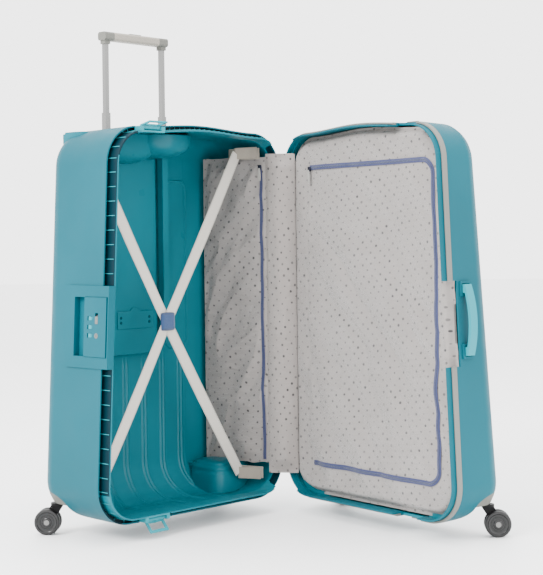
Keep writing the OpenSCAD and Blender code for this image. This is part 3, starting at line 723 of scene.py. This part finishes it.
# the lid's grey edging, a rounded band on the outer lip, as rings of the outline
SEAL_RINGS = [(4.6, 11.7), (0.2, 11.7), (0.0, 9.0), (0.2, 2.2), (0.9, 0.9), (2.4, 0.6), (3.9, 0.9), (4.6, 2.2)]
seal = loft("rim_edging", "lid", SEAL_RINGS, cap=False)
cut(seal, lid_notches())
smooth(seal, 40)
even_normals(give(seal, SEAL, "lid"))
seal.data.materials.append(TEAL)
for face in seal.data.polygons:
    if (HALVES["lid"].inverted() @ face.center).y / MM < 62:
        face.material_index = 1
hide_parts("rim_seal")

# ---- inside the base ----


def smoothstep(x, low, high):
    t = min(max((x - low) / (high - low), 0.0), 1.0)
    return t * t * (3 - 2 * t)


def wave(point, scale, seed=0.0):
    """Smooth noise from -1 to 1."""
    return noise.noise(Vector((point[0] * scale, point[1] * scale, seed)))


RIB_PAIRS = [131 + 50 * k for k in range(6)]


def make_back_liner():
    """The ribbed inner wall, which sweeps from the back down onto the floor between the wells."""
    radius, floor_z, back_v = 78, RIM_BOTTOM + 4.2, BASE_DEPTH - 3.4
    path = [(back_v, 735.0 - 8 * k, 0.0) for k in range(78)]
    lowest = floor_z + radius
    path = [p for p in path if p[1] > lowest + 4]
    for k in range(25):
        a = math.pi / 2 * k / 24
        path.append((back_v - radius * (1 - math.cos(a)), lowest - radius * math.sin(a), a))
    path += [(back_v - radius - 6 * k, floor_z, math.pi / 2) for k in range(1, 13)]
    columns = [111 + 1.6 * k for k in range(181)]
    verts = []
    for v, z, a in path:
        for u in columns:
            rise = 0.0
            for middle in RIB_PAIRS:
                for line in (middle - 4.5, middle + 4.5):
                    bend = 16 * (middle - 256) / 125 * smoothstep(a, 0.3, 1.6)
                    near = abs(u - line - bend)
                    rise = max(rise, 2.4 * (1 - smoothstep(near, 0.6, 3.4)))
            high = smoothstep(z, 330, 300) if z > 300 else 1.0
            forward = smoothstep(v, 52, 78) if a > 1.5 else 1.0
            rise *= high * forward
            rise -= 0.0 if 113 < u < 397 else 1.2
            verts.append(at("base", v - rise * math.cos(a), u, z + rise * math.sin(a)))
    obj = new_object("back_liner", verts, grid(len(path), len(columns)))
    return smooth(obj, 60)


give(make_back_liner(), INNER, "base")


FACING_OUT = Matrix.Rotation(-math.pi / 2, 4, "Y")      # turns a frame's Z toward the rim
SCREW = [(0.01, -0.6), (2.9, -0.6), (2.9, 0.4), (2.4, 0.9), (1.2, 0.9), (0.9, 0.1), (0.01, 0.1)]


def make_cover():
    """The raised cover between the tubes, with its fixing plate."""
    half = HALVES["base"]
    cover = block("tube_cover_panel", half, (168, 202, 333), (180.6, 328, 739))
    bevel(give(cover, INNER, "base"), 3.0, 3)
    smooth(cover, 40)
    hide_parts("tube_cover")
    tab = [(18, -14), (22, -10), (25, -6), (26, 0), (25, 6), (22, 10), (18, 14)]
    shape = [(-18, 47), (-18, -47), (18, -47)] + tab + [(18, 47)]
    verts = [half @ (Vector((v, 265 + y, 404 + z)) * MM) for v in (168.2, 165.4) for z, y in shape]
    n = len(shape)
    faces = [tuple(range(n)), tuple(range(2 * n - 1, n - 1, -1))]
    faces += [(i, (i + 1) % n, n + (i + 1) % n, n + i) for i in range(n)]
    plate = outward(new_object("fixing_plate", verts, faces))
    bevel(give(plate, INNER, "base"), 1.0, 2)
    smooth(plate, 40)
    for y in (-38, 38):
        for z in (-5, 5):
            spot = half @ Matrix.Translation(Vector((165.6, 265 + y, 404 + z)) * MM) @ FACING_OUT
            dot = lathe(f"fixing_screw_{'a' if y < 0 else 'b'}{'a' if z < 0 else 'b'}", spot, SCREW, 24)
            give(dot, DARK_TEAL_AND_CHANNEL_SHADE, "base")


def make_side_relief():
    """The rounded raised frame on the back beside the tube, and the ridges near the pocket."""
    for name, low, high in (("relief_inner", 108, 168), ("relief_outer", 336, 396)):
        corner, top, bottom = 16, 690, 340
        loop = [point for cu, cz, start in (
            (low + corner, bottom + corner, 180), (high - corner, bottom + corner, 270),
            (high - corner, top - corner, 0), (low + corner, top - corner, 90))
            for point in arc(cu, cz, corner, start, start + 90, 8)]
        loop.append(loop[0])
        path = [at("base", BASE_DEPTH - 4.2, u, z) for u, z in loop]
        middle = at("base", BASE_DEPTH - 4.2, (low + high) / 2, (top + bottom) / 2)
        facing = HALVES["base"].to_3x3() @ Vector((-1, 0, 0))

        def across(i, path=path):
            along = (path[min(i + 1, len(path) - 1)] - path[max(i - 1, 0)]).normalized()
            return along.cross(facing)

        ridge = [(-1, -1), (-0.6, 0.6), (0, 1), (0.6, 0.6), (1, -1)]
        frame_piece = ribbon(name, path, across, 7, 3.0, ridge)
        give(frame_piece, INNER, "base")


make_cover()
make_side_relief()


def within_shell(v, u, z, depth, clear=4.6):
    """A point moved inward, where it has to be, to lie inside the shell's rounded corner and back edge."""
    turn = min(max((v - depth + BACK_R) / BACK_R, 0.0), 1.0)
    inset = clear + DRAFT * v / depth + BACK_R * (1 - math.sqrt(1 - turn * turn))
    u, z = min(max(u, HINGE_GAP + inset), CASE_W - inset), max(z, RIM_BOTTOM + inset)
    cu = HINGE_GAP + CORNER_R if u < CASE_W / 2 else CASE_W - CORNER_R
    cz, radius = RIM_BOTTOM + CORNER_R, CORNER_R - inset
    du, dz = u - cu, z - cz
    far = math.hypot(du, dz)
    if (du > 0) == (cu > CASE_W / 2) and dz < 0 and far > radius:
        u, z = cu + du * radius / far, cz + dz * radius / far
    return v, u, z


def make_well(half, depth, far_side, name):
    """The rounded bulge over a caster, with rings on its flank, open where it meets the shell."""
    low_u, high_u = (CASE_W - 116, CASE_W - 4.6) if far_side else (HINGE_GAP + 4.6, HINGE_GAP + 116)
    low_v, high_v = depth - 110, depth - 3.6
    steps, around = 30, 72
    cu, cv = (low_u + high_u) / 2, (low_v + high_v) / 2
    ru, rv = (high_u - low_u) / 2, (high_v - low_v) / 2
    verts, moved = [], []
    for k in range(steps + 1):
        a = math.pi / 2 * k / steps
        shrink = max(math.cos(a), 1e-4) ** 0.32
        z = RIM_BOTTOM + 4.6 + 66 * math.sin(a) ** 0.75
        ring = 1.5 * math.sin(a * 18) if 0.5 < a < 1.25 else 0.0
        for i in range(around):
            t = 2 * math.pi * (i + 0.5) / around
            su = math.copysign(abs(math.cos(t)) ** 0.45, math.cos(t))
            sv = math.copysign(abs(math.sin(t)) ** 0.45, math.sin(t))
            wanted = (cv + sv * (rv + ring) * shrink, cu + su * (ru + ring) * shrink, z)
            point = within_shell(*wanted, depth)
            moved.append(math.dist(point, wanted) > 1e-6)
            verts.append(at(half, *point))
    faces = [f for f in grid(steps + 1, around, True) if not all(moved[c] for c in f)]
    faces.append(tuple(steps * around + i for i in range(around)))
    used = sorted({c for f in faces for c in f})
    place = {c: n for n, c in enumerate(used)}
    obj = new_object(name, [verts[c] for c in used], [tuple(place[c] for c in f) for f in faces])
    return smooth(outward(obj), 50)


for half, depth, first in (("base", BASE_DEPTH, 1), ("lid", LID_DEPTH, 3)):
    for far in (False, True):
        give(make_well(half, depth, far, f"well_{first + far}"), INNER, half)


def make_housing():
    """The housing under the top: a rounded bulge, and a broader wedge in front of it toward the hinge."""
    for name, low_u, high_u, front, depth, power in (("handle_housing_bulge", 236, 440, 104, 57, 4.0),
                                                     ("handle_housing_wedge", 148, 292, 74, 45, 2.2)):
        verts, columns, steps = [], 40, 16
        for c in range(columns + 1):
            s = 0.5 - 0.5 * math.cos(math.pi * c / columns)
            end = max(0.0, 1 - abs(2 * s - 1) ** power) ** (1 / power)
            u = low_u + (high_u - low_u) * s
            for k in range(steps + 1):
                a = math.pi / 2 * k / steps
                reach, drop = (172 - front) * (0.1 + 0.9 * end), depth * (0.06 + 0.94 * end)
                v, z = 172 - reach * math.cos(a) ** 0.62, 779 - drop * math.sin(a) ** 0.62
                under_cup = TUBES[0] - 18 < u < TUBES[1] + 18 and v > TUBE_DEPTH - 20
                verts.append(at("base", v, u, min(z, 760) if under_cup else z))
        faces = [tuple(reversed(f)) for f in grid(columns + 1, steps + 1)]
        piece = smooth(new_object(name, verts, faces), 60)
        give(piece, INNER, "base")
    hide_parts("handle_housing")
    half, d = HALVES["base"], TUBE_DEPTH
    cup = block("grip_cup", half, (d - 17, TUBES[0] - 16, 760.5), (d + 16, TUBES[1] + 16, 787))
    hollow = block("cutter", half, (d - 15, TUBES[0] - 14, 763), (d + 14, TUBES[1] + 14, 800))
    holes = [block("cutter", half, (d - 7.8, u - 7.8, 750), (d + 7.8, u + 7.8, 770)) for u in TUBES]
    cut(cup, [hollow] + holes)
    give(bevel(cup, 0.6), DARK_TEAL_AND_CHANNEL_SHADE, "base")
    smooth(cup, 40)


make_housing()

# ---- cloth: pocket, gusset and lining ----


def folds(u, z, seed, size=1.0):
    """Soft slanted creases and slow swells, in millimetres."""
    slant = u * 0.55 + z * 0.5
    crease = noise.noise(Vector((slant * 0.021, (z - u) * 0.0045, seed)))
    fine = noise.noise(Vector((slant * 0.05, (z - u * 1.4) * 0.012, seed + 7.3)))
    swell = noise.noise(Vector((u * 0.006, z * 0.0045, seed + 3.1)))
    ridge = 1 - abs(crease) * 2.2
    return size * (4.2 * swell + 3.4 * ridge + 1.3 * fine)


POCKET_LOW, POCKET_HIGH = 98, 738


def pocket_point(s, z, lift=0.0):
    """On the pocket's face: s runs from the rim edge to the back."""
    v, u = 13 + 152 * s, 34 + 35 * s
    edge = smoothstep(s, 0.0, 0.1) * smoothstep(1 - s, 0.0, 0.08)
    ends = smoothstep(z, POCKET_LOW, POCKET_LOW + 30) * smoothstep(POCKET_HIGH - z, 0, 24)
    bulge = 5.0 * math.sin(math.pi * min(max(s, 0), 1)) * ends + folds(v * 1.4, z, 2.2, 1.7) * edge * ends
    return at("base", v - 0.2 * (bulge + lift), u + 0.97 * (bulge + lift), z)


def pocket_sheet(s, t):
    return pocket_point(s, POCKET_LOW + t * (POCKET_HIGH - POCKET_LOW) + 3.5 * wave((s * 3, 0), 2.0, t // 0.5))


pocket = surface("pocket_panel", 80, 200, pocket_sheet, (0.16, 0.64))
give(pocket, FABRIC, "base")
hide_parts("side_pocket")


def zip_strip(name, points, across, body, width=9.5):
    coil = [(-1, -0.4), (-0.9, 0), (-0.3, 0.1), (-0.2, 1.2), (0.2, 1.2), (0.3, 0.1), (0.9, 0), (1, -0.4)]
    obj = ribbon(name, points, across, width, 1.3, coil)
    give(obj, ZIP, body)
    return obj


half_turn = HALVES["base"].to_3x3()
pocket_zip_path = [pocket_point(0.055, 106 + 4 * k, 2.2) for k in range(154)]
zip_strip("pocket_zip", pocket_zip_path, lambda i: half_turn @ Vector((0.97, 0.2, 0)), "base", 7)


def tape_pull(name, node, body, top, down, facing):
    """A slider with its bridge and a long drop-shaped pull, standing for the CAD puller."""
    side = down.cross(facing).normalized()
    frame_matrix = Matrix((side, down, facing)).transposed().to_4x4()
    frame_matrix.translation = top
    slider = block(name, frame_matrix, (-4, -5, -1.2), (4, 5, 2.2))
    bevel(slider, 1.2, 3)
    smooth(slider, 50)
    give(slider, SLIDER, body)
    path = [top + down * MM * (2 + 2 * k) + facing * MM * (3.0 - 0.06 * k) for k in range(14)]
    widths = [4.5 if k < 3 else 5.5 + 1.6 * math.sin(math.pi * (k - 3) / 10) for k in range(14)]
    verts = []
    for p, w in zip(path, widths):
        for x, h in ((-1, 0), (-0.8, 0.8), (0.8, 0.8), (1, 0), (0.8, -0.8), (-0.8, -0.8)):
            verts.append(p + side * x * w * MM / 2 + facing * h * MM)
    faces = grid(len(path), 6, True)
    faces += [tuple(range(5, -1, -1)), tuple((len(path) - 1) * 6 + c for c in range(6))]
    pull = smooth(outward(new_object(name + "_pull", verts, faces)), 40)
    give(pull, WHITE, body)
    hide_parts(node)
    return slider


DOWN = Vector((0, 0, -1))
tape_pull("pocket_slider", "pocket_puller", "pocket_puller", pocket_point(0.055, 716, 4.4), DOWN,
          (half_turn @ Vector((-0.2, 0.97, 0))).normalized())

# the gusset joins the pocket's rim edge to the lining across the hinge
GUSSET_LOW, GUSSET_HIGH = 78, 744


def gusset_point(s, t):
    z = GUSSET_LOW + (GUSSET_HIGH - GUSSET_LOW) * t
    start, end = pocket_point(0.0, z), at("lid", 7.2, 37, z)
    ends = smoothstep(t, 0, 0.05) * smoothstep(1 - t, 0, 0.05)
    forward = (start - end).cross(Vector((0, 0, 1))).normalized()
    if forward.y > 0:
        forward = -forward
    puff = (15 * math.sin(math.pi * s) ** 0.8 + 2.2 * noise.noise(Vector((s * 3.2, z * 0.013, 4.0)))
            * math.sin(math.pi * s)) * (0.45 + 0.55 * ends)
    tuck = (1 - ends) * 9 * math.sin(math.pi * s)
    return start.lerp(end, s) + forward * puff * MM - forward * tuck * MM * 0.6


gusset = surface("hinge_gusset", 28, 200, gusset_point, (0.074, 0.64))
give(gusset, satin("gusset_satin", True, (222, 212, 206)))
gusset_point(0.0, 0.5)
gusset_point(1.0, 0.5)
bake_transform(gusset)
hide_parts("gusset_base", "gusset_lid")


def lining_depth(u, z):
    inside = rim_distance(u, z)
    edge = smoothstep(inside, 14, 27)
    field = smoothstep(inside, 20, 60)
    seam = 1.6 * math.exp(-((u - 70) / 2.0) ** 2)
    along, up = min(max((u - 70) / 400, 0), 1), min(max((z - 60) / 700, 0), 1)
    sag = 5.0 * math.sin(math.pi * along) * math.sin(math.pi * up)
    pucker = 1.6 * noise.noise(Vector((u * 0.06, z * 0.06, 5.5))) * (1 - field)
    return 8.2 + 15 * (1 - edge) ** 1.5 + field * (sag + folds(u, z, 9.4, 1.8)) + seam + pucker + 1.6


def lining_point(u, z, lift=0.0):
    return at("lid", lining_depth(u, z) - lift, u, z)


def make_lining():
    pts = outline(8.6, 24)
    total = sum(math.dist(a, b) for a, b in zip(pts, pts[1:] + pts[:1]))
    count, rows = 420, 56
    edge, run, i = [], 0.0, 0
    for k in range(count):
        want = total * k / count
        while run + math.dist(pts[i], pts[(i + 1) % len(pts)]) < want:
            run += math.dist(pts[i], pts[(i + 1) % len(pts)])
            i += 1
        a, b = pts[i], pts[(i + 1) % len(pts)]
        f = (want - run) / math.dist(a, b)
        edge.append((a[0] + (b[0] - a[0]) * f, a[1] + (b[1] - a[1]) * f))
    verts, uvs = [], []
    cu, cz = 245, 405
    for r in range(rows + 1):
        reach = 1 - 0.985 * (1 - r / rows) ** 1.25
        for u0, z0 in edge:
            u, z = cu + (u0 - cu) * reach, cz + (z0 - cz) * reach
            verts.append(lining_point(u, z))
            uvs.append((u * MM, z * MM))
    faces = grid(rows + 1, count, True) + [tuple(range(count - 1, -1, -1))]
    obj = new_object("lid_lining_cloth", verts, faces, uvs)
    obj.data.polygons.foreach_set("use_smooth", [True] * len(obj.data.polygons))
    return obj


lining = give(make_lining(), FABRIC, "lid")
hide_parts("lid_lining")

ZIP_LEFT, ZIP_RIGHT, ZIP_LOW, ZIP_HIGH, ZIP_CORNER = 78, 439, 104, 712, 27


def lid_zip_path():
    corner = (arc(ZIP_RIGHT - ZIP_CORNER, ZIP_HIGH - ZIP_CORNER, ZIP_CORNER, 90, 0, 10)
              + arc(ZIP_RIGHT - ZIP_CORNER + 8, ZIP_LOW + ZIP_CORNER, ZIP_CORNER, 0, -90, 10))
    rough = [(ZIP_LEFT, ZIP_HIGH)] + corner + [(ZIP_LEFT, ZIP_LOW)]
    fine = []
    for a, b in zip(rough, rough[1:]):
        n = max(1, int(math.dist(a, b) / 5))
        fine += [(a[0] + (b[0] - a[0]) * k / n, a[1] + (b[1] - a[1]) * k / n) for k in range(n)]
    return fine + [rough[-1]]


zip_uv = lid_zip_path()
zip_points = [lining_point(u, z, 1.9) for u, z in zip_uv]
lid_facing = HALVES["lid"].to_3x3() @ Vector((-1, 0, 0))


def across_lid_zip(i):
    along = (zip_points[min(i + 1, len(zip_points) - 1)] - zip_points[max(i - 1, 0)]).normalized()
    return along.cross(lid_facing)


zip_strip("lining_zip", zip_points, across_lid_zip, "lid", 10)
tape_pull("lining_slider", "lining_puller", "lining_puller", lining_point(80, 709, 4.6), DOWN, lid_facing)

# ---- packing straps ----

CROSS = Vector((65, 270, 404))
ANCHOR_TOP, ANCHOR_LOW = 745, 78
STRAP_W, STRAP_T = 25, 1.6


def corner_end(cu, cz, degrees):
    """Where a strap ends in a corner of the base, at the lock side."""
    a, reach = math.radians(degrees), CORNER_R - 15
    return Vector((50, cu + reach * math.cos(a), cz + reach * math.sin(a)))


TOP_END = corner_end(CASE_W - CORNER_R - TOP_TAPER, RIM_TOP - CORNER_R, 9.6)
LOW_END = corner_end(CASE_W - CORNER_R, RIM_BOTTOM + CORNER_R, -35.5)


def strap(name, start, end_z, side, node):
    """One strap, drawn a little to one side where the two cross, with a slight slack."""
    end = Vector((62, 72, end_z))
    points, widths = [], []
    legs = ((start, CROSS), (CROSS, end))
    for leg, (a, b) in enumerate(legs):
        along = (b - a).normalized()
        flat = Vector((along.x, along.y, 0)).normalized()
        across = Vector((-along.z * flat.x, -along.z * flat.y, math.hypot(along.x, along.y)))
        lift = Vector((-flat.y, flat.x, 0))
        if lift.x > 0:
            lift = -lift
        for k in range(0 if leg == 0 else 1, 25):
            t = k / 24
            slack = 3.0 * math.sin(math.pi * t) + 0.7 * noise.noise(Vector((t * 5, leg * 3.0, side)))
            points.append(a.lerp(b, t) - Vector((0, 0, slack)) + lift * side * 1.2)
            tilt = 0.05 * math.sin(math.pi * t * 2 + side)
            widths.append((across + lift * tilt).normalized())
    turn = HALVES["base"]
    path = [turn @ (p * MM) for p in points]
    obj = ribbon(name, path, lambda i: turn.to_3x3() @ widths[i], STRAP_W, STRAP_T)
    give(obj, STRAP, "base")
    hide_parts(node)
    return obj


strap("strap_from_low_corner", LOW_END, ANCHOR_TOP, 1, "strap_rising")
strap("strap_from_top_corner", TOP_END, ANCHOR_LOW, -1, "strap_falling")

UP = Vector((0, 0, 1))
anchors = []
for name, z in (("top", ANCHOR_TOP), ("low", ANCHOR_LOW)):
    sign = 1 if z > 400 else -1
    path = [at("base", 24 + 3 * k, 41.5 + 17 * k / 24 + 1.5 * math.sin(math.pi * k / 24), z)
            for k in range(25)]
    band = ribbon(f"anchor_band_{name}", path, lambda i: UP, 24, 2.6)
    anchors.append(give(band, ANCHOR, "base"))
    fold = [(64, 74, 0), (60, 69.5, 0.5), (54, 62, 1.2), (47, 54.5, 1.8), (40, 50.2, 2), (33, 48, 2),
            (26, 46.3, 2)]
    fold_path = [at("base", v, u, z + sign * dz) for v, u, dz in fold]
    tail = ribbon(f"strap_tail_{name}", fold_path, lambda i: UP, 23.5, 1.6)
    give(tail, ANCHOR, "base")
for corner, (cu, cz, degrees) in enumerate(((CASE_W - CORNER_R - TOP_TAPER, RIM_TOP - CORNER_R, 9.6),
                                            (CASE_W - CORNER_R, RIM_BOTTOM + CORNER_R, -35.5))):
    plate_matrix = HALVES["base"] @ Matrix.Translation(Vector((50, cu, cz)) * MM) @ Matrix.Rotation(
        math.radians(degrees), 4, "X")
    name = f"corner_anchor_{'top' if corner == 0 else 'low'}"
    plate = block(name, plate_matrix, (-15, 62, -12), (15, 69.2, 12))
    bevel(plate, 1.2, 3)
    smooth(plate, 40)
    anchors.append(give(plate, DARK_TEAL_AND_CHANNEL_SHADE, "base"))
for piece in anchors:
    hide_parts("strap_anchors")


def make_pad():
    """The square pad that holds the straps together, crowned, with a stitched border."""
    matrix = HALVES["base"] @ Matrix.Translation((CROSS - Vector((3.2, 0, 0))) * MM) @ FACING_OUT
    n, half = 28, 18.5
    verts, uvs, faces = [], [], []
    for layer in (0, 1):
        for i in range(n + 1):
            for j in range(n + 1):
                x, y = 2 * i / n - 1, 2 * j / n - 1
                squeeze = 1 - 0.07 * (x * x * y * y)
                edge = max(abs(x), abs(y))
                high = 4.6 * (1 - edge ** 6) ** 0.5 if edge < 1 else 0.0
                high -= 0.5 * math.exp(-((edge - 0.84) / 0.035) ** 2)
                wide = half * squeeze
                verts.append(matrix @ (Vector((x * wide, y * wide, high if layer else 0.0)) * MM))
                uvs.append((x * half * MM, y * half * MM))
    w = (n + 1) ** 2
    for face in grid(n + 1, n + 1):
        faces += [face, tuple(w + k for k in face)]
    rim = ([i * (n + 1) for i in range(n + 1)] + [n * (n + 1) + j for j in range(1, n + 1)]
           + [i * (n + 1) + n for i in range(n - 1, -1, -1)] + [j for j in range(n - 1, 0, -1)])
    faces += [(a, b, w + b, w + a) for a, b in zip(rim, rim[1:] + rim[:1])]
    pad = smooth(outward(new_object("cross_pad", verts, faces, uvs)), 50)
    give(pad, BLUE, "base")
    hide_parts("strap_pad")


make_pad()

# ---- wheels ----


def make_wheel(name):
    """One wheel: a rubber tread round a glossy dished disc with a hub."""
    low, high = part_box(name)
    middle = (Vector(low) + Vector(high)) / 2
    hand = "left" if name.endswith("left") else "right"
    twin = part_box(name.replace(hand, "right" if hand == "left" else "left"))
    outer = 1 if middle.y > twin[0][1] else -1
    matrix = Matrix.Translation(middle) @ Matrix.Rotation(-math.pi / 2 * outer, 4, "X")
    r, h = (high[2] - low[2]) / 2 / MM, 5.5
    profile = [(3.2, -h), (r - 3, -h), (r - 1.2, -h + 0.7), (r - 0.3, -h + 2), (r, -h + 3.6), (r - 0.25, -0.6),
               (r - 0.25, 0.6), (r, h - 3.6), (r - 0.3, h - 2), (r - 1.2, h - 0.7), (r - 3, h), (r - 5.4, h),
               (r - 6, h - 0.6), (r - 6.6, h - 1.3), (r - 7.4, h - 1.6), (14.5, h - 1.9), (14.0, h - 1.3),
               (12.6, h - 1.3), (12.0, h - 1.9), (9.4, h - 1.9), (8.8, h - 1.0), (7.6, h - 0.2), (6.4, h), (3.2, h)]
    obj = lathe(name + "_body", matrix, profile, 72)
    obj.data.materials.append(RUBBER)
    obj.data.materials.append(GLOSS)
    for face in obj.data.polygons:
        local = matrix.inverted() @ face.center
        face.material_index = 0 if math.hypot(local.x, local.y) > (r - 5.6) * MM else 1
    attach(obj, name)
    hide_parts(name)


for number in range(1, 5):
    for hand in ("left", "right"):
        make_wheel(f"wheel_{number}_{hand}")

# ---- what keeps its CAD shape ----

LINED = ("wells_base", "wells_lid", "outer_tubes")
FINISH = {
    "grey": GREY, "cream": CREAM, "black": BLACK, "tube": TUBE, "steel": STEEL, "shell": TEAL, "trim": PALE,
    "tyre": RUBBER, "fabric": FABRIC, "webbing": STRAP, "blue": BLUE,
}
slots = {part["node"]: part["material_slot"] for part in frame["record"]["subparts"]}
for name, node in frame["nodes"].items():
    if node.hide_render:
        continue
    node.data.materials.clear()
    finish = INNER if name in LINED else PALE if name.startswith("dial") else FINISH[slots[name]]
    node.data.materials.append(finish)
